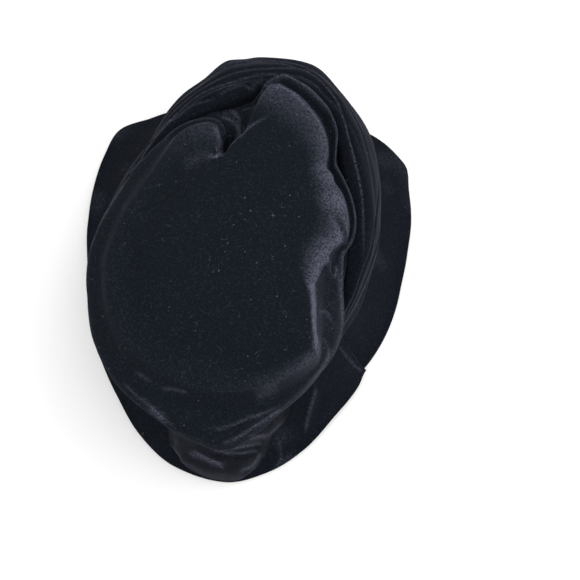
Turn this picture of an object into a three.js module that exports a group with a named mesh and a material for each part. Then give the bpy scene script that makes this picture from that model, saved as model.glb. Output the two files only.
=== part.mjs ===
// A draped velvet cloche hat, standing on the edge of its brim.
// Millimetres. +Z is up through the crown, +Y is towards the front of the brim, +X is the wearer's right.
// Angles are degrees about the middle of the head opening, from +X towards +Y.
import * as THREE from "three";

// Driving sizes
const headLength = 204; // inside the crown, front to back
const headWidth = 156;
const headTurn = -12; // the head oval is turned a little in the brim
const clothWall = 2; // one lined thickness of velvet
const brimWall = 3; // two layers of velvet over a stiffener
const bandWall = 2.4;
const drapeWall = 2;
const seamGap = 0.5; // kept between sewn pieces
const rootHeight = 36; // where the brim leaves the crown
const sideFoot = rootHeight - brimWall;
const sideTop = 72; // top of the side of the crown
const sideTopShrink = 0.925; // the side leans in towards the tip
const sideTopShift = { x: -5, y: -2 };
const brimCurl = 1.3; // above 1 the brim flattens towards its edge
const lapLift = 5.2; // height of the upper end of the brim over the lower one
const restWidth = 9; // the edge is pressed flat this far in, where it rests
const tipCentre = { x: -18, y: -12 };
const tipHeight = 119;
const flatReach = 26; // round the tip's centre, where no fold reaches

// How many columns each piece has round the hat, and rows across its cloth
const mesh = { brim: 66, side: 48, sideRows: 4, tip: 80, band: 56, bandRows: 15, drape: 15, drapeRows: 11 };

// Edge of the brim: how far it reaches, and how far its underside lifts off the table.
// The rows run anticlockwise from the lower end of the lap to the upper end.
const brimEdge = [
  { at: -57, reach: 103, lift: 0 },
  { at: -41, reach: 110.5, lift: 0 },
  { at: -28, reach: 111, lift: 0 },
  { at: -9, reach: 112.5, lift: 2 },
  { at: 4, reach: 117.5, lift: 3 },
  { at: 17, reach: 127.5, lift: 2 },
  { at: 26, reach: 135.5, lift: 0 },
  { at: 34, reach: 144, lift: 0 },
  { at: 41, reach: 143.5, lift: 0 },
  { at: 55, reach: 136, lift: 4 },
  { at: 80, reach: 131, lift: 5 },
  { at: 104, reach: 131, lift: 4 },
  { at: 120, reach: 135, lift: 1 },
  { at: 130, reach: 141, lift: 0 },
  { at: 139, reach: 134, lift: 0 },
  { at: 151, reach: 123.5, lift: 2 },
  { at: 164, reach: 115, lift: 3 },
  { at: 182, reach: 109, lift: 2 },
  { at: 201, reach: 113, lift: 0 },
  { at: 214, reach: 117, lift: 0 },
  { at: 227, reach: 124, lift: 1 },
  { at: 240, reach: 135.5, lift: 2 },
  { at: 252, reach: 144.5, lift: 1 },
  { at: 266, reach: 148, lift: 0 },
  { at: 276, reach: 143, lift: 0 },
  { at: 288, reach: 133.5, lift: 1 },
  { at: 301, reach: 122, lift: 2 },
  { at: 313, reach: 116, lift: 1 },
  { at: 319, reach: 112.5, lift: 0 },
];

// Section of the draped band: its crest, its widest place and its foot on the brim. lip and lipUp are how
// far its hidden start leans in and stands up beside the tip.
const bandRows = [
  { at: -90, crest: 107, crestUp: 70.5, wide: 113, wideUp: 54, foot: 107, lip: -0.5, lipUp: 0 },
  { at: -74, crest: 98, crestUp: 69, wide: 101, wideUp: 52, foot: 101, lip: -0.5, lipUp: 0 },
  { at: -62, crest: 91, crestUp: 70, wide: 94, wideUp: 51, foot: 95, lip: -0.5, lipUp: 0 },
  { at: -48, crest: 85, crestUp: 71, wide: 87.5, wideUp: 52, foot: 90, lip: -0.5, lipUp: 0 },
  { at: -36, crest: 81, crestUp: 75, wide: 84.5, wideUp: 55, foot: 87, lip: -0.3, lipUp: 1 },
  { at: -24, crest: 79, crestUp: 82, wide: 84, wideUp: 60, foot: 87, lip: 0, lipUp: 6 },
  { at: -8, crest: 78, crestUp: 89, wide: 87, wideUp: 62, foot: 88, lip: 2.5, lipUp: 17.2 },
  { at: 10, crest: 81, crestUp: 93, wide: 92.5, wideUp: 62, foot: 93, lip: 2.7, lipUp: 19.5 },
  { at: 26, crest: 85, crestUp: 95, wide: 102, wideUp: 60, foot: 101, lip: 5, lipUp: 19.5 },
  { at: 42, crest: 95, crestUp: 95, wide: 115, wideUp: 60, foot: 108, lip: 1.8, lipUp: 18.5 },
  { at: 48, crest: 99.5, crestUp: 95, wide: 118.5, wideUp: 60.5, foot: 110, lip: 0.6, lipUp: 17 },
  { at: 56, crest: 106, crestUp: 95, wide: 123, wideUp: 62, foot: 113, lip: -0.6, lipUp: 8 },
  { at: 70, crest: 110, crestUp: 94, wide: 133.2, wideUp: 65, foot: 118, lip: 0, lipUp: 0 },
  { at: 82, crest: 107, crestUp: 92.6, wide: 131, wideUp: 65, foot: 118, lip: 0, lipUp: 0 },
  { at: 86, crest: 105.4, crestUp: 92.2, wide: 130, wideUp: 65, foot: 118, lip: 4, lipUp: 12 },
  { at: 89, crest: 104, crestUp: 91.8, wide: 129, wideUp: 65, foot: 117.5, lip: 5, lipUp: 14 },
  { at: 93, crest: 102, crestUp: 91.5, wide: 128.8, wideUp: 65, foot: 116, lip: 7, lipUp: 15 },
  { at: 103, crest: 97, crestUp: 90, wide: 116.2, wideUp: 65, foot: 112, lip: 7.5, lipUp: 15.3 },
  { at: 110, crest: 93.5, crestUp: 88.5, wide: 111.2, wideUp: 64.5, foot: 106.5, lip: 6, lipUp: 14.5 },
  { at: 118, crest: 90, crestUp: 86.5, wide: 104.2, wideUp: 64, foot: 101, lip: 3.2, lipUp: 13 },
  { at: 135, crest: 84, crestUp: 82, wide: 91.5, wideUp: 60, foot: 92, lip: 0.8, lipUp: 9 },
  { at: 155, crest: 82.5, crestUp: 79, wide: 90, wideUp: 58, foot: 88, lip: 0, lipUp: 4 },
  { at: 180, crest: 85.5, crestUp: 77, wide: 92, wideUp: 58, foot: 88, lip: -0.5, lipUp: 0.5 },
  { at: 208, crest: 91, crestUp: 73, wide: 98, wideUp: 56, foot: 95, lip: -1.3, lipUp: 0 },
  { at: 238, crest: 102, crestUp: 70.5, wide: 107, wideUp: 55, foot: 103, lip: -0.8, lipUp: 0 },
];
const bandTuck = 4; // the band is tucked in this far below its crest
const bandFolds = { count: 4.5, depth: 2.6, from: 0.17, to: 0.98, sway: 0.035 };

// The soft tip, about its own centre: the ridge where its flat top ends, with the width and drop of its
// shoulder, the rim that hangs below it, the roll under the rim, and the valley between ridge and rim.
const tipRows = [
  { at: -168, ridge: 62, ridgeUp: 112, rim: 77, rimUp: 95, roll: 7, shoulder: 16, drop: 2.5, valley: -1.2 },
  { at: -156, ridge: 66, ridgeUp: 111, rim: 81.3, rimUp: 93, roll: 7, shoulder: 16, drop: 2.5, valley: -1.2 },
  { at: -145, ridge: 71, ridgeUp: 111, rim: 88.2, rimUp: 91, roll: 7, shoulder: 16, drop: 2.5, valley: -1.2 },
  { at: -135, ridge: 76, ridgeUp: 110, rim: 94.3, rimUp: 90, roll: 7, shoulder: 16, drop: 2.5, valley: -1.2 },
  { at: -125, ridge: 81, ridgeUp: 110, rim: 100, rimUp: 90, roll: 7, shoulder: 16, drop: 2.5, valley: -1.2 },
  { at: -110, ridge: 86, ridgeUp: 109, rim: 107.5, rimUp: 89, roll: 7, shoulder: 18, drop: 3, valley: -1 },
  { at: -97, ridge: 90, ridgeUp: 109, rim: 116, rimUp: 89, roll: 7, shoulder: 26, drop: 4, valley: 1 },
  { at: -86, ridge: 92, ridgeUp: 109, rim: 122.5, rimUp: 88, roll: 7, shoulder: 20, drop: 4, valley: 1.5 },
  { at: -75, ridge: 94, ridgeUp: 111, rim: 115, rimUp: 87, roll: 7, shoulder: 12, drop: 4.5, valley: 1 },
  { at: -66, ridge: 95, ridgeUp: 113, rim: 108, rimUp: 85, roll: 7, shoulder: 10, drop: 5, valley: 0.5 },
  { at: -58, ridge: 95, ridgeUp: 116, rim: 104.5, rimUp: 84, roll: 7, shoulder: 9, drop: 5, valley: 0 },
  { at: -50, ridge: 94.5, ridgeUp: 118, rim: 101.5, rimUp: 84, roll: 7, shoulder: 7, drop: 4.5, valley: 0 },
  { at: -42, ridge: 82.5, ridgeUp: 118, rim: 99, rimUp: 84, roll: 7, shoulder: 6, drop: 4, valley: 0 },
  { at: -34, ridge: 74, ridgeUp: 118, rim: 95, rimUp: 85, roll: 7.5, shoulder: 7, drop: 4, valley: 0 },
  { at: -26, ridge: 68, ridgeUp: 118, rim: 90, rimUp: 87, roll: 8, shoulder: 10, drop: 5, valley: 0 },
  { at: -18, ridge: 68.5, ridgeUp: 118, rim: 84, rimUp: 91, roll: 10, shoulder: 14, drop: 6, valley: 1 },
  { at: -7, ridge: 73, ridgeUp: 118, rim: 80, rimUp: 99, roll: 12.5, shoulder: 20, drop: 8, valley: 1.5 },
  { at: 1, ridge: 81, ridgeUp: 118, rim: 86, rimUp: 101, roll: 13, shoulder: 24, drop: 9, valley: 3 },
  { at: 9, ridge: 83, ridgeUp: 118, rim: 89, rimUp: 102, roll: 13, shoulder: 24, drop: 9, valley: 3 },
  { at: 19, ridge: 83.6, ridgeUp: 118, rim: 90.2, rimUp: 102, roll: 13, shoulder: 22, drop: 9, valley: 3.5 },
  { at: 27, ridge: 81.5, ridgeUp: 118, rim: 91, rimUp: 101, roll: 13, shoulder: 18, drop: 8.5, valley: 4 },
  { at: 32, ridge: 82, ridgeUp: 118, rim: 91.5, rimUp: 101, roll: 13, shoulder: 17, drop: 8.5, valley: 4 },
  { at: 37, ridge: 89, ridgeUp: 118.5, rim: 97, rimUp: 102, roll: 13, shoulder: 20, drop: 9, valley: 4.5 },
  { at: 43, ridge: 96, ridgeUp: 119, rim: 106.5, rimUp: 103, roll: 12, shoulder: 24, drop: 9, valley: 5 },
  { at: 52, ridge: 103, ridgeUp: 119, rim: 114.5, rimUp: 104, roll: 9, shoulder: 30, drop: 9, valley: 5 },
  { at: 62, ridge: 108, ridgeUp: 118, rim: 118, rimUp: 106, roll: 7, shoulder: 34, drop: 8, valley: 5 },
  { at: 67, ridge: 109, ridgeUp: 117, rim: 118.5, rimUp: 106, roll: 7, shoulder: 32, drop: 7, valley: 4 },
  { at: 70, ridge: 106, ridgeUp: 116, rim: 114.5, rimUp: 106, roll: 7, shoulder: 26, drop: 6, valley: 3 },
  { at: 71.6, ridge: 98, ridgeUp: 115, rim: 107, rimUp: 105, roll: 9, shoulder: 18, drop: 5, valley: 2 },
  { at: 72.4, ridge: 84, ridgeUp: 114.5, rim: 98, rimUp: 104, roll: 11, shoulder: 9, drop: 4, valley: 1 },
  { at: 73.2, ridge: 71.5, ridgeUp: 114, rim: 85, rimUp: 103, roll: 13, shoulder: 5, drop: 3, valley: 0 },
  { at: 74.2, ridge: 69, ridgeUp: 114, rim: 75, rimUp: 102, roll: 13, shoulder: 5, drop: 3, valley: 0 },
  { at: 75.8, ridge: 66.5, ridgeUp: 114, rim: 71.5, rimUp: 101, roll: 13, shoulder: 5, drop: 3, valley: 0 },
  { at: 79.2, ridge: 60.5, ridgeUp: 114, rim: 65, rimUp: 100, roll: 13, shoulder: 5, drop: 3, valley: 0 },
  { at: 82, ridge: 55, ridgeUp: 113.5, rim: 59, rimUp: 100, roll: 13, shoulder: 5, drop: 3, valley: 0 },
  { at: 83.2, ridge: 54, ridgeUp: 113, rim: 59, rimUp: 100, roll: 13, shoulder: 6, drop: 3.5, valley: 0 },
  { at: 84, ridge: 60, ridgeUp: 113, rim: 66, rimUp: 100, roll: 13, shoulder: 10, drop: 4, valley: 0 },
  { at: 85, ridge: 67, ridgeUp: 113, rim: 73.5, rimUp: 100, roll: 13, shoulder: 15, drop: 5, valley: 0 },
  { at: 88, ridge: 73, ridgeUp: 113, rim: 80.5, rimUp: 100, roll: 13, shoulder: 24, drop: 6, valley: 0 },
  { at: 93, ridge: 75.5, ridgeUp: 113, rim: 82.5, rimUp: 99, roll: 13, shoulder: 28, drop: 6.5, valley: 0.5 },
  { at: 100, ridge: 74.5, ridgeUp: 112.5, rim: 82, rimUp: 98, roll: 13, shoulder: 28, drop: 6, valley: 1 },
  { at: 107, ridge: 71, ridgeUp: 112, rim: 79.5, rimUp: 97.5, roll: 13, shoulder: 26, drop: 5.5, valley: 1 },
  { at: 116, ridge: 62, ridgeUp: 112, rim: 74.5, rimUp: 97, roll: 13, shoulder: 16, drop: 2.5, valley: -1.2 },
  { at: 130, ridge: 55, ridgeUp: 112, rim: 70, rimUp: 96.5, roll: 12, shoulder: 16, drop: 2.5, valley: -1.2 },
  { at: 150, ridge: 52, ridgeUp: 112, rim: 67.5, rimUp: 96, roll: 9, shoulder: 16, drop: 2.5, valley: -1.2 },
  { at: 170, ridge: 54, ridgeUp: 112, rim: 70, rimUp: 96, roll: 7, shoulder: 16, drop: 2.5, valley: -1.2 },
];
const rimRoll = 6; // how far the rim turns under
const neckSpread = 85; // about the tip's centre: spaces the columns evenly round the neck
const notch = { at: 77, crowd: 0.7 }; // the tip's columns crowd together round its notch

// The tail of the band that falls over the back of the brim, from its left edge to its right. It narrows
// on its way down, so each row has its own direction at the top and at the foot.
const drapeRows = [
  { at: 241, footAt: 251, top: 112, topUp: 60, wide: 123, wideUp: 30, foot: 136 },
  { at: 251, footAt: 256, top: 116, topUp: 70, wide: 129, wideUp: 42, foot: 141 },
  { at: 263, footAt: 263, top: 118.5, topUp: 74, wide: 134, wideUp: 46, foot: 144.5 },
  { at: 272, footAt: 267, top: 118, topUp: 72, wide: 132, wideUp: 45, foot: 145 },
  { at: 280, footAt: 270, top: 112, topUp: 66, wide: 126.5, wideUp: 40, foot: 144 },
  { at: 287, footAt: 272.5, top: 107, topUp: 60, wide: 121, wideUp: 34, foot: 141 },
];
const drapeFolds = { count: 3.5, depth: 1.8, from: 0.1, to: 1, sway: 0 };

// Colours and finishes
const topVelvet = new THREE.MeshStandardMaterial({ color: 0x1c2128, roughness: 0.95 });
const sideVelvet = new THREE.MeshStandardMaterial({ color: 0x181b22, roughness: 0.95 });
const brimVelvet = new THREE.MeshStandardMaterial({ color: 0x1a1e25, roughness: 0.95 });
const liningCloth = new THREE.MeshStandardMaterial({ color: 0x131418, roughness: 0.85 });

const radians = THREE.MathUtils.degToRad;
const mix = THREE.MathUtils.lerp;
const ease = THREE.MathUtils.smoothstep;

function polar(angle, reach, up, centre = { x: 0, y: 0 }) {
  const turn = radians(angle);
  return new THREE.Vector3(centre.x + reach * Math.cos(turn), centre.y + reach * Math.sin(turn), up);
}

// The slope of a smooth curve at a row: level where the column turns back, so it never overshoots.
function slopeAt(before, here, after) {
  const down = (here.value - before.value) / (here.at - before.at);
  const up = (after.value - here.value) / (after.at - here.at);
  return down * up > 0 ? (2 * down * up) / (down + up) : 0;
}

// A table's column at any angle, on a smooth curve through its rows. A closed table goes on round the hat.
function valueAt(rows, column, angle, closed) {
  const count = rows.length;
  const row = (i) => {
    const turns = closed ? Math.floor(i / count) : 0;
    const kept = THREE.MathUtils.clamp(i - turns * count, 0, count - 1);
    return { at: rows[kept].at + turns * 360 + (i - turns * count - kept), value: rows[kept][column] };
  };
  const wanted = closed ? angle - Math.floor((angle - rows[0].at) / 360) * 360 : angle;
  const last = closed ? count - 1 : count - 2;
  let i = 0;
  while (i < last && row(i + 1).at <= wanted) i += 1;
  const [before, from, to, after] = [row(i - 1), row(i), row(i + 1), row(i + 2)];
  const span = to.at - from.at;
  const part = THREE.MathUtils.clamp((wanted - from.at) / span, 0, 1);
  const keep = (1 - part) * (1 - part) * (1 + 2 * part);
  const start = part * (1 - part) * (1 - part) * span * slopeAt(before, from, to);
  const end = part * part * (part - 1) * span * slopeAt(from, to, after);
  return from.value * keep + to.value * (1 - keep) + start + end;
}

function rowAt(rows, angle, closed) {
  const row = {};
  for (const column of Object.keys(rows[0])) row[column] = valueAt(rows, column, angle, closed);
  return row;
}

// The same direction as an angle between the two ends of the brim, on the upper end where they lap.
function brimAngle(angle) {
  const last = brimEdge[brimEdge.length - 1].at;
  const turned = THREE.MathUtils.euclideanModulo(angle, 360);
  return turned > last ? turned - 360 : turned;
}

// How far the outside of the crown is from the middle of the opening.
function headReach(angle) {
  const fromLongAxis = radians(angle - 90 - headTurn);
  const long = headLength / 2 + clothWall;
  const short = headWidth / 2 + clothWall;
  return (long * short) / Math.hypot(short * Math.cos(fromLongAxis), long * Math.sin(fromLongAxis));
}

// The outside of the crown at a share of the way from inside the brim's root up to the tip's neck.
function sideReach(angle, share) {
  const lean = sideTopShift.x * Math.cos(radians(angle)) + sideTopShift.y * Math.sin(radians(angle));
  return headReach(angle) * mix(1, sideTopShrink, share) + lean * share;
}

function brimRoot(angle) {
  return headReach(angle) + seamGap;
}

// Height of the brim's upper face, a share of the way from its root to its edge.
function brimUp(angle, share) {
  const end = brimEdge[brimEdge.length - 1].at;
  const lap = lapLift * ease(angle, end - 36, end - 18);
  const edge = brimWall + valueAt(brimEdge, "lift", angle, false);
  return mix(edge, rootHeight, Math.pow(1 - share, brimCurl)) + lap;
}

// Height of the brim under a point at an angle and reach.
function brimUnder(angle, reach) {
  const at = brimAngle(angle);
  const root = brimRoot(at);
  const edge = valueAt(brimEdge, "reach", at, false);
  const share = THREE.MathUtils.clamp((reach - root) / (edge - root), 0, 1);
  const lower = brimEdge[0].at;
  const onLap = at < lower + 34 ? lapLift * (1 - ease(at, lower + 21, lower + 33)) : 0;
  return brimUp(at, share) + onLap;
}

// Folds running round a section: rounded pleats with a sharp valley between them.
function foldOut(folds, share, angle) {
  const sway = folds.sway * Math.sin(radians(angle * 2));
  const part = THREE.MathUtils.clamp((share + sway - folds.from) / (folds.to - folds.from), 0, 1);
  return Math.abs(Math.sin(Math.PI * folds.count * part)) * folds.depth;
}

// One column of folded cloth: a smooth curve through the section's points, pushed out by its folds.
function foldedColumn(angle, footAngle, section, rows, folds) {
  const curve = new THREE.SplineCurve(section.map(([reach, up]) => new THREE.Vector2(reach, up)));
  const column = [];
  for (let r = 0; r < rows; r += 1) {
    const share = r / (rows - 1);
    const point = curve.getPoint(share);
    const along = curve.getTangent(share);
    const out = foldOut(folds, share, angle);
    column.push(polar(mix(angle, footAngle, share), point.x - out * along.y, point.y + out * along.x));
  }
  return column;
}

// Gives a face its thickness: each column becomes an outline, down the face and back up behind it.
// The edges of the cloth are cut square to the directions given for its first and last row.
function thicken(face, thickness, ring, edgeWays = {}) {
  const count = face.length;
  const rows = face[0].length;
  const pick = (c, r) => {
    const column = ring ? (c + count) % count : THREE.MathUtils.clamp(c, 0, count - 1);
    return face[column][THREE.MathUtils.clamp(r, 0, rows - 1)];
  };
  return face.map((column, c) => {
    const behind = column.map((point, r) => {
      const across = pick(c + 1, r).clone().sub(pick(c - 1, r));
      const down = pick(c, r + 1).clone().sub(pick(c, r - 1));
      const given = r === 0 ? edgeWays.first : r === rows - 1 ? edgeWays.last : undefined;
      const inward = given ? given(point) : across.cross(down).normalize();
      return point.clone().addScaledVector(inward, thickness);
    });
    return [...column, ...behind.reverse()];
  });
}

const downward = () => new THREE.Vector3(0, 0, -1);
const towardsHead = (point) => new THREE.Vector3(-point.x, -point.y, 0).normalize();

// A closed solid from outlines. They join in a ring or end in caps, and a domed one meets at its first
// and last points, so those are shared.
function solid(outlines, { ring, domed }) {
  const rows = outlines[0].length;
  const index = (c, r) => (c % outlines.length) * rows + (r % rows);
  const faces = [];
  for (let c = 0; c < (ring ? outlines.length : outlines.length - 1); c += 1) {
    for (let r = 0; r < (domed ? rows - 1 : rows); r += 1) {
      const [a, b, d, e] = [index(c, r), index(c, r + 1), index(c + 1, r), index(c + 1, r + 1)];
      if (!(domed && r === 0)) faces.push([a, b, d]);
      if (!(domed && r === rows - 2)) faces.push([d, b, e]);
    }
  }
  for (const [c, flip] of ring ? [] : [[0, false], [outlines.length - 1, true]]) {
    for (let r = 0; r < rows / 2 - 1; r += 1) {
      const [a, b, d, e] = [index(c, r), index(c, r + 1), index(c, rows - 2 - r), index(c, rows - 1 - r)];
      faces.push(flip ? [a, b, e] : [a, e, b], flip ? [b, d, e] : [b, e, d]);
    }
  }
  return new THREE.BufferGeometry().setFromPoints(outlines.flat()).setIndex(faces.flat());
}

function piece(name, geometry, material) {
  const made = new THREE.Mesh(geometry, material);
  made.name = name;
  return made;
}

function makeBrim() {
  const shares = [0, 0.2, 0.42, 0.64, 0.84, 1];
  const [start, end] = [brimEdge[0].at, brimEdge[brimEdge.length - 1].at];
  const outlines = [];
  const face = [];
  const edges = [];
  for (let i = 0; i <= mesh.brim; i += 1) {
    const angle = mix(start, end, i / mesh.brim);
    const edge = rowAt(brimEdge, angle, false);
    const reach = (share) => mix(brimRoot(angle), edge.reach, share);
    face.push(shares.map((share) => polar(angle, reach(share), brimUp(angle, share))));
    edges.push({ angle, reach: edge.reach, under: brimUp(angle, 1) - brimWall });
  }
  thicken(face, brimWall, false, { first: downward, last: downward }).forEach((outline, i) => {
    const { angle, reach, under } = edges[i];
    outline.splice(shares.length + 1, 1, polar(angle, reach - restWidth, under));
    outlines.push(outline);
  });
  return piece("brim", solid(outlines, { ring: false, domed: false }), brimVelvet);
}

function makeSide() {
  const face = [];
  for (let i = 0; i < mesh.side; i += 1) {
    const angle = (360 * i) / mesh.side;
    const column = [];
    for (let r = 0; r < mesh.sideRows; r += 1) {
      const share = 1 - r / (mesh.sideRows - 1);
      column.push(polar(angle, sideReach(angle, share), mix(sideFoot, sideTop, share)));
    }
    face.push(column);
  }
  const outlines = thicken(face, clothWall, true, { first: towardsHead, last: towardsHead });
  return piece("side_crown", solid(outlines, { ring: true, domed: false }), liningCloth);
}

// A section of the tip: flat top, shoulder, ridge, the shelf below it, rim, roll, and back under to the neck.
function tipColumn(angle) {
  const { ridge, ridgeUp, rim, rimUp, roll, shoulder, drop, valley } = rowAt(tipRows, angle, true);
  const place = (reach, up) => polar(angle, reach, up, tipCentre);
  const shelfUp = (across, down) => mix(ridgeUp - drop, rimUp, down) - valley * (1 - across);
  const shelf = (across, down) => place(mix(ridge, rim, across), shelfUp(across, down));
  const tuck = place(rim - rimRoll, rimUp - roll);
  const neckWay = place(neckSpread, 0);
  const neckAngle = THREE.MathUtils.radToDeg(Math.atan2(neckWay.y, neckWay.x));
  const neck = polar(neckAngle, sideReach(neckAngle, 1), sideTop + seamGap);
  const under = tuck.clone().lerp(neck, 0.86);
  under.z = mix(tuck.z, neck.z, 0.24);
  return [
    place(0, tipHeight),
    place(Math.min(flatReach, (ridge - shoulder) * 0.6), tipHeight + 0.4),
    place(ridge - shoulder, ridgeUp + 1),
    place(ridge - shoulder * 0.4, ridgeUp + 0.6 - drop * 0.3),
    place(ridge, ridgeUp + 0.6 - drop),
    shelf(0.35, 0.5),
    shelf(0.75, 0.7),
    place(rim, rimUp),
    place(rim - rimRoll * 0.25, rimUp - roll * 0.7),
    tuck,
    under,
    neck,
  ];
}

function makeTip() {
  const face = [];
  for (let i = 0; i < mesh.tip; i += 1) {
    const turned = (360 * i) / mesh.tip;
    const crowded = notch.crowd * Math.sin(radians(turned));
    face.push(tipColumn(notch.at + turned - THREE.MathUtils.radToDeg(crowded)));
  }
  const outlines = thicken(face, clothWall, true, { first: downward, last: towardsHead });
  return piece("crown_tip", solid(outlines, { ring: true, domed: true }), topVelvet);
}

// The band rises out of the fold beside the tip, goes over its crest and comes down to its foot.
function makeBand() {
  const face = [];
  for (let i = 0; i < mesh.band; i += 1) {
    const angle = (360 * i) / mesh.band;
    const { crest, crestUp, wide, wideUp, foot, lip, lipUp } = rowAt(bandRows, angle, true);
    const height = THREE.MathUtils.clamp((crestUp - bandTuck - sideFoot) / (sideTop - sideFoot), 0, 0.97);
    const start = sideReach(angle, height) + seamGap * 2 - lip;
    const startUp = mix(sideFoot, sideTop, height) + lipUp;
    const section = [
      [start, startUp],
      [mix(start, crest, 0.22), mix(startUp, crestUp, 0.82)],
      [crest, crestUp],
      [mix(crest, wide, 0.62), mix(crestUp, wideUp, 0.42)],
      [wide, wideUp],
      [foot, brimUnder(angle, foot - bandWall) + seamGap],
    ];
    face.push(foldedColumn(angle, angle, section, mesh.bandRows, bandFolds));
  }
  return piece("draped_band", solid(thicken(face, bandWall, true), { ring: true, domed: false }), sideVelvet);
}

function makeDrape() {
  const face = [];
  const [start, end] = [drapeRows[0].at, drapeRows[drapeRows.length - 1].at];
  for (let i = 0; i < mesh.drape; i += 1) {
    const angle = mix(start, end, i / (mesh.drape - 1));
    const { footAt, top, topUp, wide, wideUp, foot } = rowAt(drapeRows, angle, false);
    const rest = brimUnder(footAt, foot - drapeWall) + seamGap;
    const section = [
      [top, topUp],
      [mix(top, wide, 0.6), mix(topUp, wideUp, 0.42)],
      [wide, wideUp],
      [mix(wide, foot, 0.75), mix(wideUp, rest, 0.55)],
      [foot, rest],
    ];
    face.push(foldedColumn(angle, footAt, section, mesh.drapeRows, drapeFolds));
  }
  const outlines = thicken(face, drapeWall, false);
  return piece("back_drape", solid(outlines, { ring: false, domed: false }), sideVelvet);
}

const hat = new THREE.Group();
hat.add(makeBrim(), makeSide(), makeTip(), makeBand(), makeDrape());

// The part's origin is on the table, under the middle of the hat.
const bounds = new THREE.Box3().setFromObject(hat);
const middle = bounds.getCenter(new THREE.Vector3());
hat.position.set(-middle.x, -middle.y, -bounds.min.z);

export default hat;
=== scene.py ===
import math

import bpy
import numpy as np
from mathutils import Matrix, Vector, noise


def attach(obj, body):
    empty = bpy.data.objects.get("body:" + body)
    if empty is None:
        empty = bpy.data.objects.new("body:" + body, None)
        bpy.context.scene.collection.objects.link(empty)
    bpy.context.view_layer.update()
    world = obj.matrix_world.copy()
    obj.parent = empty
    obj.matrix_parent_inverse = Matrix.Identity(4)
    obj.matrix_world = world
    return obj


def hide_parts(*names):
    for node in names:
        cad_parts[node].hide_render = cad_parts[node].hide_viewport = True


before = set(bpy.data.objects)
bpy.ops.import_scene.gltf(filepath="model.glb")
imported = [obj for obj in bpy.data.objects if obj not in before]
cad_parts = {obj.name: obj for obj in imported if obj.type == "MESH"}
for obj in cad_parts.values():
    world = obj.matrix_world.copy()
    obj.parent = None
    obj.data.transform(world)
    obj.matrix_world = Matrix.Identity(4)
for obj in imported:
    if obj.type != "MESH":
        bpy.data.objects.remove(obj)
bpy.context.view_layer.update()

# A draped velvet cloche hat, standing on the edge of its brim.
# Sizes are in millimetres, and degrees go about the middle of the head opening from +X towards +Y.
# What is made from them is in metres, in the part's own frame.
mm = 0.001
openingMiddle = np.array([-5.745, 7.61, 0.0])  # where the middle of the head opening stands in the frame
seamGap = 0.5  # left between pieces that are sewn together


# A table with named columns, as a list of rows. A row may stop early.
def makeTable(columns, rows):
    return [dict(zip(columns.split(), row)) for row in rows]


def mix(a, b, part):
    return a + (b - a) * part


def ease(value, low, high):
    part = np.clip((value - low) / (high - low), 0, 1)
    return part * part * (3 - 2 * part)


# 1 inside, and fading to 0 over the spans start and end.
def inside(share, start, end):
    return ease(share, *start) * (1 - ease(share, *end))


# A soft bump, 1 at the middle and nearly gone two widths away.
def bump(away, wide):
    return np.exp(-(away / wide) ** 2)


# A section's point between two others, so far along in reach and in height.
def between(first, last, shares):
    return tuple(mix(a, b, part) for a, b, part in zip(first, last, shares))


def polar(angle, reach, up, middle=(0, 0)):
    turn = np.radians(angle)
    x = middle[0] + reach * np.cos(turn)
    y = middle[1] + reach * np.sin(turn)
    return np.stack(np.broadcast_arrays(x, y, up), -1)


# A table's column at any angle, on a smooth curve through its rows that never overshoots them.
def columnAt(rows, column, angle, closed):
    at = np.array([row["at"] for row in rows], float)
    value = np.array([row[column] for row in rows], float)
    if closed:
        angle = angle - np.floor((angle - at[0]) / 360) * 360
        at = np.concatenate([at[-2:] - 360, at, at[:2] + 360])
        value = np.concatenate([value[-2:], value, value[:2]])
    else:
        at = np.concatenate([at[:1] - 1, at, at[-1:] + 1])
        value = np.concatenate([value[:1], value, value[-1:]])
    rise = np.diff(value) / np.diff(at)
    same = rise[:-1] * rise[1:] > 0
    slope = np.zeros(len(at))
    slope[1:-1] = np.where(same, 2 * rise[:-1] * rise[1:] / np.where(same, rise[:-1] + rise[1:], 1), 0)
    i = np.clip(np.searchsorted(at, angle, side="right") - 1, 1, len(at) - 3)
    span = at[i + 1] - at[i]
    part = np.clip((angle - at[i]) / span, 0, 1)
    keep = (1 - part) ** 2 * (1 + 2 * part)
    bend = part * (1 - part) ** 2 * span * slope[i] + part ** 2 * (part - 1) * span * slope[i + 1]
    return value[i] * keep + value[i + 1] * (1 - keep) + bend


def rowAt(rows, angle, closed):
    return {column: columnAt(rows, column, angle, closed) for column in rows[0] if column != "at"}


# A smooth curve through a section's points, for every column at once.
def sectionAt(points, share):
    knots = np.stack([np.stack(np.broadcast_arrays(*point), -1) for point in points])
    last = len(points) - 1
    place = np.clip(share, 0, 1) * last
    i = np.clip(np.floor(place).astype(int), 0, last - 1)
    part = (place - i)[:, None, None]
    before, here = knots[np.maximum(i - 1, 0)], knots[i]
    after, beyond = knots[i + 1], knots[np.minimum(i + 2, last)]
    start, end = (after - before) / 2, (beyond - here) / 2
    return ((2 * part ** 3 - 3 * part ** 2 + 1) * here + (part ** 3 - 2 * part ** 2 + part) * start
            + (3 * part ** 2 - 2 * part ** 3) * after + (part ** 3 - part ** 2) * end)


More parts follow.
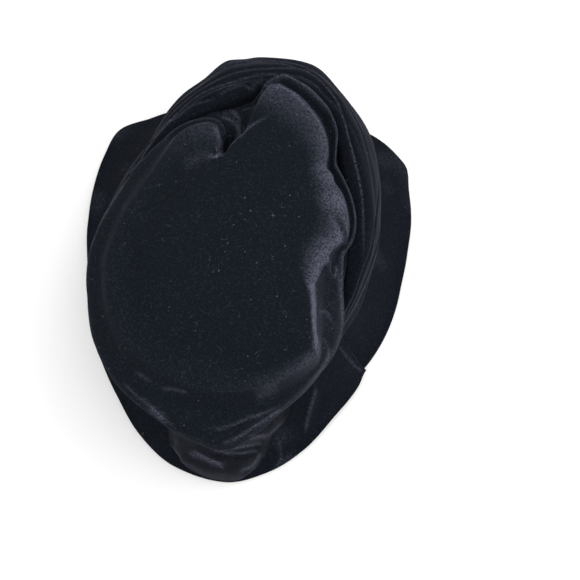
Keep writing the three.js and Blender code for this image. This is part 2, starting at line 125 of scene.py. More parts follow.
# Spaces a section's rows along the cloth. crowd is how close together they stand before and after the
# span where it changes.
def evenSection(points, rows, crowd=(1, 1), span=(0.1, 0.3), steps=480):
    share = np.linspace(0, 1, steps + 1)
    section = sectionAt(points, share)
    step = np.linalg.norm(np.diff(section, axis=0), axis=-1)
    step = step * mix(crowd[0], crowd[1], ease((share[1:] + share[:-1]) / 2, *span))[:, None]
    along = np.concatenate([np.zeros((1, step.shape[1])), np.cumsum(step, 0)])
    wanted = np.linspace(0, 1, rows)
    out = np.empty((rows, section.shape[1], 2))
    for c in range(section.shape[1]):
        place = np.interp(wanted * along[-1, c], along[:, c], share)
        for k in range(2):
            out[:, c, k] = np.interp(place, share, section[:, c, k])
    return out


# Which way a grid of points faces, row by row down the cloth.
def facing(points, ring):
    if ring:
        wide = np.concatenate([points[:, -2:-1], points, points[:, 1:2]], 1)
        across = wide[:, 2:] - wide[:, :-2]
    else:
        across = np.gradient(points, axis=1)
    down = np.gradient(points, axis=0)
    normal = np.cross(down, across)
    return normal / np.maximum(np.linalg.norm(normal, axis=-1, keepdims=True), 1e-9)


def roughness(points, size, seed):
    shift = Vector((seed * 17.3, seed * 5.1, seed * 9.7))
    flat = points.reshape(-1, 3) / size
    return np.array([noise.noise(Vector(p) + shift) for p in flat]).reshape(points.shape[:-1])


# A smooth line through a few plan points, as many short steps.
def smoothLine(points, steps=6):
    share = np.linspace(0, 1, steps * (len(points) - 1) + 1)
    return sectionAt([(np.array([x]), np.array([y])) for x, y in points], share)[:, 0]


# How near plan places are to a fold's line, as 0 to 1. wide is its reach to both sides, or to the left
# and right of the line, and fade the shares of the line over which its two ends come up.
def foldShare(plan, fold, wide):
    line = smoothLine(fold["line"])
    best = np.full(len(plan), 1e9)
    side = np.zeros(len(plan))
    along = np.zeros(len(plan))
    for i in range(len(line) - 1):
        step = line[i + 1] - line[i]
        part = np.clip((plan - line[i]) @ step / max(step @ step, 1e-9), 0, 1)
        off = plan - (line[i] + part[:, None] * step)
        far = np.hypot(off[:, 0], off[:, 1])
        closer = far < best
        best = np.where(closer, far, best)
        side = np.where(closer, step[0] * off[:, 1] - step[1] * off[:, 0], side)
        along = np.where(closer, (i + part) / (len(line) - 1), along)
    left, right = wide if isinstance(wide, tuple) else (wide, wide)
    start, end = fold.get("fade", (0.2, 0.2))
    return bump(best, np.where(side > 0, left, right)) * inside(along, (0, start), (1 - end, 1))


# Folds raise or sink the cloth along its normals by high, and paint a sheen on the pile, lighter as if lit,
# by nap over napWide. above and under keep a fold to the cloth between two heights.
# Nothing of a fold is left four widths away.
def addFolds(points, normals, nap, folds):
    flat, out, light = points.reshape(-1, 3), normals.reshape(-1, 3), nap.ravel().copy()
    moved = flat.copy()
    for fold in folds:
        line = np.array(fold["line"])
        pad = 4 * max(np.max(fold["wide"]), np.max(fold.get("napWide", 0)))
        near = np.all((flat[:, :2] > line.min(0) - pad) & (flat[:, :2] < line.max(0) + pad), 1)
        near &= (flat[:, 2] > fold.get("above", 0)) & (flat[:, 2] < fold.get("under", math.inf))
        where = np.nonzero(near)[0]
        plan = flat[where, :2]
        moved[where] += out[where] * (fold["high"] * foldShare(plan, fold, fold["wide"]))[:, None]
        light[where] += fold.get("nap", 0) * foldShare(plan, fold, fold.get("napWide", fold["wide"]))
    return moved.reshape(points.shape), light.reshape(nap.shape)


# Pleats run round the cloth, each where it is so far from the hat's middle, or at a share of the way
# down it. above and below are how far a pleat spreads up and down the cloth from its crest, and each
# paints a sheen, a lighter pile along its crest, over napWide.
def addPleats(points, normals, nap, angle, pleats):
    down = np.linalg.norm(np.diff(points, axis=0), axis=-1)
    along = np.concatenate([np.zeros((1, points.shape[1])), np.cumsum(down, 0)])
    reach = np.maximum.accumulate(np.hypot(points[..., 0], points[..., 1]), 0)
    columns = np.arange(points.shape[1])
    height = np.zeros(nap.shape)
    light = nap.copy()
    for pleat in pleats:
        row = rowAt(pleat["rows"], angle, True)
        if "reach" in row:
            below = np.clip((reach < row["reach"]).sum(0), 1, len(points) - 1)
            first, last = reach[below - 1, columns], reach[below, columns]
            part = np.clip((row["reach"] - first) / np.maximum(last - first, 1e-6), 0, 1)
            at = mix(along[below - 1, columns], along[below, columns], part)
        else:
            at = row["share"] * along[-1]
        off = along - at
        height += row["high"] * bump(off, np.where(off < 0, pleat["above"], pleat["below"]))
        # Painted sheen along the pleat's crest.
        light += row["nap"] * bump(off, pleat["napWide"])
    return points + normals * height[..., None], light


def makeActive(piece):
    bpy.ops.object.select_all(action="DESELECT")
    piece.select_set(True)
    bpy.context.view_layer.objects.active = piece


def facesUp(mesh):
    return sum(face.normal.z * face.area for face in mesh.polygons)


def facesOut(mesh):
    middle, flat = Vector(openingMiddle * mm), Vector((1, 1, 0))
    return sum(face.normal.dot((face.center - middle) * flat) * face.area for face in mesh.polygons)


# A flat grid of cloth, whose corners are moved to the places that shape gives for them. Its faces are
# made to look out of the hat before it gets its wall.
def addCloth(name, sizes, shape, outward):
    columns, rows = sizes["columns"], sizes["rows"]
    bpy.ops.object.select_all(action="DESELECT")
    bpy.ops.mesh.primitive_grid_add(x_subdivisions=columns, y_subdivisions=rows, size=1)
    cloth = bpy.context.object
    cloth.name = cloth.data.name = name
    flat = np.empty(len(cloth.data.vertices) * 3)
    cloth.data.vertices.foreach_get("co", flat)
    flat = flat.reshape(rows + 1, columns + 1, 3)
    points, nap = shape(flat[..., 0] + 0.5, flat[..., 1] + 0.5)
    cloth.data.vertices.foreach_set("co", ((points + openingMiddle) * mm).ravel())
    # The painted sheen goes on the cloth as an attribute that the velvet reads to lighten its colour.
    layer = cloth.data.attributes.new("nap", "FLOAT", "POINT")
    layer.data.foreach_set("value", np.clip(nap, 0, 1).astype(np.float32).ravel())
    bpy.ops.object.mode_set(mode="EDIT")
    bpy.ops.mesh.select_all(action="SELECT")
    bpy.ops.mesh.remove_doubles(threshold=0.000001)
    bpy.ops.mesh.normals_make_consistent(inside=False)
    bpy.ops.object.mode_set(mode="OBJECT")
    if outward(cloth.data) < 0:
        bpy.ops.object.mode_set(mode="EDIT")
        bpy.ops.mesh.flip_normals()
        bpy.ops.object.mode_set(mode="OBJECT")
    thick = cloth.modifiers.new("Wall", "SOLIDIFY")
    thick.thickness = sizes["wall"] * mm
    thick.offset = -1
    makeActive(cloth)
    bpy.ops.object.modifier_apply(modifier=thick.name)
    bpy.ops.object.shade_smooth()
    print("made", name, "with", len(cloth.data.polygons), "faces")
    return cloth


# The side crown round the head: an oval, turned, and smaller and off to the back where the tip joins it.
head = {"length": 204, "width": 156, "turn": -12, "wall": 2, "foot": 33, "top": 72, "shrink": 0.925,
        "lean": (-5, -2), "columns": 200, "rows": 24}


def headReach(angle):
    fromLong = np.radians(angle - 90 - head["turn"])
    long, short = head["length"] / 2 + head["wall"], head["width"] / 2 + head["wall"]
    return long * short / np.hypot(short * np.cos(fromLong), long * np.sin(fromLong))


def sideReach(angle, share):
    lean = head["lean"][0] * np.cos(np.radians(angle)) + head["lean"][1] * np.sin(np.radians(angle))
    return headReach(angle) * mix(1, head["shrink"], share) + lean * share


def sideShape(across, down):
    angle = across * 360
    share = 1 - down
    points = polar(angle, sideReach(angle, share), mix(head["foot"], head["top"], share))
    return points, np.zeros(across.shape)


# The brim leaves the crown at the height root and curls down to its edge. Its last end rises by lap over
# its first end: lapUp and lapOver are the degrees from each end where that starts and stops. Its waves
# and the random patches of painted sheen on its pile have a strength and a size.
brim = {"wall": 3, "root": 36, "curl": 1.3, "lap": 5.2, "lapUp": (36, 18), "lapOver": (21, 33),
        "wave": 0.7, "waveSize": 34, "waveIn": (0.05, 0.3), "waveOut": (0.85, 0.97),
        "patch": 0.1, "patchSize": 26, "patchSpan": (0.05, 0.6), "columns": 560, "rows": 56}

# Edge of the brim: how far it reaches, and how far it lifts off the table.
brimEdge = makeTable("at reach lift", [
    (-57, 103, 0), (-41, 110.5, 0), (-28, 111, 0), (-9, 112.5, 2), (4, 117.5, 3), (17, 127.5, 2),
    (26, 135.5, 0), (34, 144, 0), (41, 143.5, 0), (55, 136, 4), (80, 131, 5), (104, 131, 4), (120, 135, 1),
    (130, 141, 0), (139, 134, 0), (151, 123.5, 2), (164, 115, 3), (182, 109, 2), (201, 113, 0),
    (214, 117, 0), (227, 124, 1), (240, 135.5, 2), (252, 144.5, 1), (266, 148, 0), (276, 143, 0),
    (288, 133.5, 1), (301, 122, 2), (313, 116, 1), (319, 112.5, 0)
])

# Creases in the brim, in plan, most with a painted sheen along them.
brimFolds = makeTable("line wide high nap napWide fade above under", [
    ([(49, -87), (46, -97), (43, -108), (42, -118)], (3.5, 2), 1.4, 0.28, (1.4, 1), (0.25, 0.35)),
    ([(53, -92), (51, -104), (49, -116)], 4, -0.8),
    ([(24, -118), (25, -127), (26, -133), (19, -141)], 2.5, 0.8, 0.22, 0.8),
    ([(27, -131), (35, -137)], 5, 0.6, 0.14, 5, (0.4, 0.4)),
    ([(64, -63), (70, -68), (76, -72), (82, -75)], 1.5, 0.3, 0.25, 0.8, (0.05, 0.05)),
    ([(98, 60), (108, 52)], 7, 0.5, 0.04),
    ([(88, 12), (93, 2), (100, -6)], 5, 0.4, 0.07),
])


def brimRoot(angle):
    return headReach(angle) + seamGap


def brimUp(angle, share):
    end = brimEdge[-1]["at"]
    lap = brim["lap"] * ease(angle, end - brim["lapUp"][0], end - brim["lapUp"][1])
    edge = brim["wall"] + columnAt(brimEdge, "lift", angle, False)
    return mix(edge, brim["root"], np.power(1 - share, brim["curl"])) + lap


# How high the brim's upper face is under a place, with the lapped end where there is one.
def brimUnder(angle, reach):
    first, last = brimEdge[0]["at"], brimEdge[-1]["at"]
    turned = np.mod(angle, 360)
    at = np.where(turned > last, turned - 360, turned)
    root = brimRoot(at)
    edge = columnAt(brimEdge, "reach", at, False)
    share = np.clip((reach - root) / (edge - root), 0, 1)
    onLap = brim["lap"] * (1 - ease(at, first + brim["lapOver"][0], first + brim["lapOver"][1]))
    return brimUp(at, share) + onLap


def brimShape(across, down):
    angle = mix(brimEdge[0]["at"], brimEdge[-1]["at"], across)
    edge = columnAt(brimEdge, "reach", angle, False)
    points = polar(angle, mix(brimRoot(angle), edge, down), brimUp(angle, down))
    share = inside(down, brim["waveIn"], brim["waveOut"])
    points[..., 2] += brim["wave"] * roughness(points, brim["waveSize"], 1) * share
    # Random patches of painted sheen on the brim's pile.
    nap = brim["patch"] * ease(roughness(points, brim["patchSize"], 2), *brim["patchSpan"])
    return addFolds(points, facing(points, False), nap, brimFolds)


# The soft tip goes out from its flat top to a ridge, down to a rim, and back under it to a neck on the
# side crown. Places of its section are shares: turn of the shoulder still to go and of the drop, dip of
# the way from ridge to rim, out and down, and of the valley, and rolls of rollIn and of the roll. The
# cloth is shaped on a grid of around by outwards, whose columns crowd together at the notch between its
# two lobes.
tip = {"wall": 2, "middle": (-18, -12), "up": 119, "flat": 26, "flatShare": 0.6, "domed": 0.4,
       "slope": (0.6, 0.5), "shoulderUp": 1, "edgeUp": 0.6, "turn": ((0.5, 0.22), (0.18, 0.6), (0, 1)),
       "dip": ((0.35, 0.5, -1), (0.75, 0.7, 0.35)), "rolls": ((0, 0), (0.25, 0.7), (1, 1)), "rollIn": 6,
       "neck": 85, "inward": 0.45, "hang": 5, "underShare": 0.18, "notch": 77, "crowd": 0.7,
       "rowCrowd": (0.5, 1.6), "wave": 0.6, "waveSize": 24, "ripple": 0.2, "rippleSize": 9,
       "around": 1441, "outwards": 481, "columns": 216, "rows": 216}

# Painted sheen on its pile: lighter over the shoulder up to the ridge, where the light would catch it,
# dark again just past it, and a thin painted highlight line along the rim.
tipPaintedSheenLooks = {"rise": 1.3, "dark": 0.95, "past": (-0.4, 1.2), "rimIn": 1, "rimWide": 0.9,
           "rimLeast": 0.05, "rimShare": 0.45, "rimMost": 0.45, "under": 2}

# The tip about its own middle: the ridge where its flat top ends, and the rim that hangs below it. roll
# is how far the rim turns down, shoulder how far inside the ridge the cloth starts to turn down, drop how
# far down it has turned at the ridge, valley the dip between ridge and rim, and nap how much
# sheen is painted on the pile, as if it caught the light.
tipRows = makeTable("at ridge ridgeUp rim rimUp roll shoulder drop valley nap", [
    (-168, 62, 112, 77, 95, 7, 16, 2.5, -1.2, 0.02),
    (-156, 66, 111, 81.3, 93, 7, 16, 2.5, -1.2, 0.02),
    (-145, 71, 111, 88.2, 91, 7, 16, 2.5, -1.2, 0.02),
    (-135, 76, 110, 94.3, 90, 7, 16, 2.5, -1.2, 0.02),
    (-125, 81, 110, 100, 90, 7, 16, 2.5, -1.2, 0.02),
    (-110, 86, 109, 107.5, 89, 7, 18, 3, -1, 0.02),
    (-97, 90, 109, 116, 89, 7, 26, 4, 1, 0.02),
    (-86, 92, 109, 122.5, 88, 7, 20, 4, 1.5, 0.03),
    (-75, 94, 111, 115, 87, 7, 12, 4.5, 1, 0.06),
    (-66, 95, 113, 108, 85, 7, 10, 5, 0.5, 0.14),
    (-58, 95, 116, 104.5, 84, 7, 9, 5, 0, 0.24),
    (-50, 94.5, 118, 101.5, 84, 7, 7, 4.5, 0, 0.38),
    (-42, 82.5, 118, 99, 84, 7, 6, 4, 0, 0.85),
    (-34, 74, 118, 95, 85, 7.5, 7, 4, 0, 0.95),
    (-26, 67.5, 118, 90, 87, 8, 10, 5, 0, 0.75),
    (-18, 66.8, 118, 84, 91, 10, 14, 6, 1, 0.62),
    (-7, 71.8, 118, 80, 99, 12.5, 20, 8, 1.5, 0.62),
    (1, 81, 118, 86, 101, 13, 24, 9, 3, 0.55),
    (9, 83, 118, 89, 102, 13, 24, 9, 3, 0.5),
    (19, 83.6, 118, 90.2, 102, 13, 22, 9, 3.5, 0.5),
    (27, 81.5, 118, 91, 101, 13, 18, 8.5, 4, 0.64),
    (32, 82, 118, 91.5, 101, 13, 17, 8.5, 4, 0.65),
    (37, 89, 118.5, 97, 102, 13, 20, 9, 4.5, 0.45),
    (43, 96, 119, 106.5, 103, 12, 24, 9, 5, 0.38),
    (52, 103, 119, 114.5, 104, 9, 30, 9, 5, 0.32),
    (62, 108, 118, 118, 106, 7, 34, 8, 5, 0.34),
    (67, 109, 117, 118.5, 106, 7, 32, 7, 4, 0.36),
    (70, 106, 116, 114.5, 106, 7, 26, 6, 3, 0.36),
    (71.6, 98, 115, 107, 105, 9, 18, 5, 2, 0.34),
    (72.4, 84, 114.5, 98, 104, 11, 9, 4, 1, 0.3),
    (73.2, 71.5, 114, 85, 103, 13, 5, 3, 0, 0.26),
    (74.2, 69, 114, 75, 102, 13, 5, 3, 0, 0.26),
    (75.8, 66.5, 114, 71.5, 101, 13, 5, 3, 0, 0.26),
    (79.2, 60.5, 114, 65, 100, 13, 5, 3, 0, 0.26),
    (82, 55, 113.5, 59, 100, 13, 5, 3, 0, 0.26),
    (83.2, 54, 113, 59, 100, 13, 6, 3.5, 0, 0.28),
    (84, 60, 113, 66, 100, 13, 10, 4, 0, 0.22),
    (85, 67, 113, 73.5, 100, 13, 15, 5, 0, 0.2),
    (88, 73, 113, 80.5, 100, 13, 24, 6, 0, 0.2),
    (93, 75.5, 113, 82.5, 99, 13, 28, 6.5, 0.5, 0.18),
    (100, 74.5, 112.5, 82, 98, 13, 28, 6, 1, 0.14),
    (107, 71, 112, 79.5, 97.5, 13, 26, 5.5, 1, 0.09),
    (116, 62, 112, 74.5, 97, 13, 16, 2.5, -1.2, 0.04),
    (130, 55, 112, 70, 96.5, 12, 16, 2.5, -1.2, 0.02),
    (150, 52, 112, 67.5, 96, 9, 16, 2.5, -1.2, 0.02),
    (170, 54, 112, 70, 96, 7, 16, 2.5, -1.2, 0.02),
])

# Creases in the soft tip, in plan: its lobes beside the notch, and the pleats along its lower edge.
# Most paint a sheen along their crests.
tipFolds = makeTable("line wide high nap napWide fade above under", [
    ([(-17, 37), (-11, 42), (-7, 47), (-2, 52), (3, 55), (8, 58), (13, 60.5), (19, 64)], (1.2, 3.5), 0.8,
     0.55, 0.7, (0.05, 0.3), 105),
    ([(-13, 41), (-10, 47), (-10.5, 53), (-13.5, 58), (-17, 61)], (5, 1.6), 1.2, 0.4, (3.5, 1), (0.1, 0.3),
     100),
    ([(-10, 47), (-11, 42), (-15, 38), (-21, 37)], (1.5, 3), 0.5, 0.4, (0.8, 1.6), (0.2, 0.2), 105),
    ([(-17, 86), (-12, 82), (-7, 79), (-3, 75)], (4, 5), 4.5, 0.2, 4, (0.4, 0.1), 70, 100),
    ([(-13, 84), (-9, 85.5), (-5, 83), (-2, 78), (-1, 71)], (1.2, 1.6), 1.5, 0.5, 0.8, (0.2, 0.2), 70, 100),
    ([(-12, 81), (-8, 79), (-4, 74), (-2, 68)], (1.2, 1.8), 1.6, 0.5, (0.7, 1.2), (0.2, 0.2), 70, 100),
    ([(-5, 78), (-2, 73), (-1.5, 67), (-2, 60)], (1.6, 2.2), 3, 0.45, (0.8, 2), (0.2, 0.1), 70, 104),
    ([(0, 71), (2, 66), (4, 60)], 1.2, 1.6, 0.35, 0.7, (0.3, 0.1), 70, 104),
    ([(-1, 82), (5, 84), (11, 84)], (3, 1.4), 1.8, 0.25, 0.8, (0.2, 0.2), 70, 100),
    ([(3, 78), (7, 73), (9, 67)], 5, -3.5, 0, 5, (0.2, 0.1), 70, 100),
    ([(-10, 72), (-8, 64), (-8, 57)], 4, -4, 0, 4, (0.3, 0.1), 70, 104),
    ([(-17, 37), (-24, 38), (-30, 34), (-34, 28)], 4.5, -0.7, 0.12, 4, (0.1, 0.4), 105),
    ([(-52, 64), (-58, 52), (-63, 43), (-68, 37), (-75, 23), (-83, 8), (-89, -5), (-91, -16)], 1.4, 0.5,
     0.35, 0.9, (0.2, 0.2), 85),
    ([(18, 82), (23, 86), (29, 84), (36, 77), (43, 70), (49, 62), (53, 52), (54, 42)], (2, 3), 0.7, 0.35,
     (1.4, 1), (0.2, 0.2), 97),
    ([(56, 27), (50, 25), (44, 20), (38, 17)], (4, 5), -1.5, 0, (4, 5), (0.1, 0.5), 100),
    ([(60, 14), (52, 9), (46, 2)], 6, 1.2, 0.25, 6, (0.1, 0.5), 100),
    ([(55, 0), (59.5, -7), (61.5, -13), (61, -18)], (1.8, 1.2), -1.1, -0.4, (2.2, 1.2), (0.3, 0.1), 98),
    ([(52, 0), (56, -6), (58, -11), (58, -17)], (1.2, 2.6), 0.9, 0.3, (0.8, 1.6), (0.3, 0.2), 98),
    ([(48, -34), (43, -38), (37, -42)], (3, 4), -0.9, 0, (3, 4), (0.1, 0.5), 100),
    ([(43, -42), (43.5, -53), (43, -70), (43, -84)], (1.6, 3), 0.8, 0.8, (0.9, 1.8), (0.15, 0.15), 100),
    ([(46, -58), (50, -55), (53, -57), (55, -61)], 1.8, 1.6, 0.3, 0.9, (0.2, 0.2), 88),
    ([(56, -28), (59, -33), (61, -46), (62, -60)], (1.5, 2.5), 1, 0.25, 0.8, (0.2, 0.2), 85),
    ([(48, -70), (53, -77), (52, -85)], 2, 0.9, 0.25, 0.8, (0.2, 0.2), 85),
    ([(49, -24), (50, -31), (54, -36)], 3.2, -3, 0, 3.2, (0.2, 0.2), 85),
    ([(57, -27), (58, -31), (56, -35)], 1.6, 2, 0.7, 1, (0.2, 0.2), 85),
    ([(-70, -95), (-63, -102), (-56, -108), (-50, -113), (-44, -118), (-37, -122)], (1.2, 1), 0.9, 0.34,
     0.65, (0.2, 0.2), 85),
    ([(-58, -104), (-52, -109.5), (-46, -114), (-40, -118)], (1.4, 1.2), 0.7, 0.16, 0.7, (0.2, 0.2), 85),
    ([(-55, -110.5), (-49, -115.5), (-43, -119.5)], 1.6, 0.6, 0.3, 1.2, (0.2, 0.2), 82),
    ([(-19, -123.5), (-12, -123), (-3, -120), (5, -117), (14, -114), (25, -109)], (2.2, 1.4), 1, 0.32, 0.8,
     (0.2, 0.2), 85),
    ([(-12, -132), (-6, -130), (0, -127), (8, -122), (18, -116), (26, -110)], (2.4, 1.2), 1.2, 0.38, 0.8,
     (0.2, 0.2), 80),
    ([(-14, -127), (-4, -125), (4, -121), (14, -116.5)], 2, -0.8, 0, 2, (0.2, 0.2), 85),
    ([(8, -106), (17, -102.5), (22, -99)], 3, 0.5, 0.16, 2.4, (0.2, 0.2), 85),
    ([(-62, -91), (-56, -94), (-51, -97.5)], 2, 0.4, 0.16, 1, (0.2, 0.2), 85),
    ([(-46, -101), (-38, -102), (-30, -104)], 1.2, 0.5, 0.28, 0.65, (0.2, 0.2), 85),
    ([(13, 82), (16, 88), (21, 93), (28, 95.5), (37, 90), (49, 79), (56, 69)], 2.4, 0.3, 0.26, 2,
     (0.2, 0.2), 95),
])


def tipBase(angle, rows):
    row = rowAt(tipRows, angle, True)
    ridge, ridgeUp, rim, rimUp = row["ridge"], row["ridgeUp"], row["rim"], row["rimUp"]
    shoulder, drop, valley = row["shoulder"], row["drop"], row["valley"]
    edgeUp = ridgeUp + tip["edgeUp"]
    neckWay = polar(angle, tip["neck"], 0, tip["middle"])
    neckAngle = np.degrees(np.arctan2(neckWay[..., 1], neckWay[..., 0]))
    neck = polar(neckAngle, sideReach(neckAngle, 1), head["top"] + seamGap)
    inner = (np.minimum(tip["flat"], (ridge - shoulder) * tip["flatShare"]), tip["up"] + tip["domed"])
    outer = (ridge - shoulder, ridgeUp + tip["shoulderUp"])
    section = [(0 * angle, tip["up"]), inner, between(inner, outer, tip["slope"]), outer]
    section += [(ridge - shoulder * out, edgeUp - drop * down) for out, down in tip["turn"]]
    section += [(mix(ridge, rim, out), mix(ridgeUp - drop, rimUp, down) + valley * deep)
                for out, down, deep in tip["dip"]]
    section += [(rim - tip["rollIn"] * out, rimUp - row["roll"] * down) for out, down in tip["rolls"]]
    underRows = int(rows * tip["underShare"])
    over = evenSection(section, rows - underRows, tip["rowCrowd"])
    top = polar(angle[None], over[..., 0], over[..., 1], tip["middle"])
    part = np.linspace(0, 1, underRows + 1)[1:, None, None]
    under = mix(top[-1:], neck[None], part ** tip["inward"])
    under[..., 2] = mix(top[-1:, :, 2], neck[None, :, 2], part[..., 0] ** tip["hang"])
    return np.concatenate([top, under]), row


# Painted sheen of the tip: lighter pile over the shoulder, dark just past the ridge, and a painted highlight
# line along the rim.
def tipPaintedSheen(base, row):
    reach = np.hypot(base[..., 0] - tip["middle"][0], base[..., 1] - tip["middle"][1])
    turned = ease(reach, row["ridge"] - row["shoulder"], row["ridge"]) ** tipPaintedSheenLooks["rise"]
    start, end = tipPaintedSheenLooks["past"]
    beyond = 1 - tipPaintedSheenLooks["dark"] * ease(reach, row["ridge"] + start, row["ridge"] + end)
    strength = tipPaintedSheenLooks["rimLeast"] + tipPaintedSheenLooks["rimShare"] * np.minimum(row["nap"], tipPaintedSheenLooks["rimMost"])
    alongRim = bump(reach - row["rim"] + tipPaintedSheenLooks["rimIn"], tipPaintedSheenLooks["rimWide"]) * strength
    return (row["nap"] * turned * beyond + alongRim) * (base[..., 2] > row["rimUp"] - tipPaintedSheenLooks["under"])


def sampleGrid(grid, across, down):
    x = across * (grid.shape[1] - 1)
    y = down * (grid.shape[0] - 1)
    i = np.clip(x.astype(int), 0, grid.shape[1] - 2)
    j = np.clip(y.astype(int), 0, grid.shape[0] - 2)
    px, py = (x - i)[..., None], (y - j)[..., None]
    return mix(mix(grid[j, i], grid[j, i + 1], px), mix(grid[j + 1, i], grid[j + 1, i + 1], px), py)


# The square of cloth is laid over the tip ring by ring, so it has no pole and no seam.
def tipShape(across, down):
    x, y = across * 2 - 1, down * 2 - 1
    ringShare = np.maximum(np.abs(x), np.abs(y))
    safe = np.maximum(ringShare, 1e-9)
    sideways = np.where(x > 0, y / safe, 4 - y / safe)
    lengthways = np.where(y > 0, 2 - x / safe, 6 + x / safe)
    turn = np.mod(np.where(np.abs(x) >= np.abs(y), sideways, lengthways), 8) / 8
    around = np.linspace(-math.pi, math.pi, tip["around"])
    angle = tip["notch"] + np.degrees(around - tip["crowd"] * np.sin(around))
    base, row = tipBase(angle, tip["outwards"])
    base[:, -1] = base[:, 0]
    points = sampleGrid(base, turn, ringShare)
    normals = sampleGrid(-facing(base, True), turn, ringShare)
    nap = sampleGrid(tipPaintedSheen(base, row)[..., None], turn, ringShare)[..., 0]
    points, nap = addFolds(points, normals, nap, tipFolds)
    waves = tip["wave"] * roughness(points, tip["waveSize"], 4)
    ripples = tip["ripple"] * roughness(points, tip["rippleSize"], 5)
    return points + normals * (waves + ripples)[..., None], nap


# The draped band starts tuck below its crest, against the side crown and no higher up it than highest.
# rise and fall are how far out and how far up its section is on the way to the crest and down from it,
# and foldSpan where its creases end, as shares of the way down.
band = {"wall": 2.4, "tuck": 4, "highest": 0.97, "rise": (0.22, 0.82), "fall": (0.62, 0.42),
        "foldSpan": (0.5, 0.4), "wave": 0.5, "waveSize": 17, "waveIn": (0, 0.1), "waveOut": (0.85, 1),
        "columns": 520, "rows": 92}

# Section of the draped band: its crest, its widest place and its foot on the brim. lip and
# lipUp are how far its hidden start leans in and stands up beside the tip.
bandRows = makeTable("at crest crestUp wide wideUp foot lip lipUp", [
    (-90, 107, 70.5, 113, 54, 107, -0.5, 0),
    (-74, 98, 69, 101, 52, 101, -0.5, 0),
    (-62, 91, 70, 94, 51, 95, -0.5, 0),
    (-48, 85, 71, 87.5, 52, 90, -0.5, 0),
    (-36, 81, 75, 84.5, 55, 87, 0.3, 3),
    (-24, 79, 82, 84, 60, 87, 1.6, 10),
    (-8, 78, 89, 87, 62, 88, 3.6, 17.6),
    (10, 81, 93, 92.5, 62, 93, 2.7, 19.5),
    (26, 85, 95, 102, 60, 101, 5, 19.5),
    (42, 95, 95, 115, 60, 108, 1.8, 18.5),
    (48, 99.5, 95, 118.5, 60.5, 110, 0.6, 17),
    (56, 106, 95, 123, 62, 113, -0.6, 8),
    (70, 110, 94, 133.2, 65, 118, 0, 0),
    (82, 107, 92.6, 131, 65, 118, 0, 0),
    (86, 105.4, 92.2, 130, 65, 118, 5, 12.5),
    (89, 104, 91.8, 129, 65, 117.5, 6.8, 14.5),
    (93, 102, 91.5, 128.8, 65, 116, 8.4, 15.4),
    (103, 97, 90, 116.2, 65, 112, 8.4, 15.5),
    (110, 93.5, 88.5, 111.2, 64.5, 106.5, 7, 14.7),
    (118, 90, 86.5, 104.2, 64, 101, 4.6, 13.6),
    (135, 84, 82, 91.5, 60, 92, 3.2, 11),
    (155, 82.5, 79, 90, 58, 88, 1.2, 6),
    (180, 85.5, 77, 92, 58, 88, -0.5, 0.5),
    (208, 91, 73, 98, 56, 95, -1.3, 0),
    (238, 102, 70.5, 107, 55, 103, -0.8, 0),
])
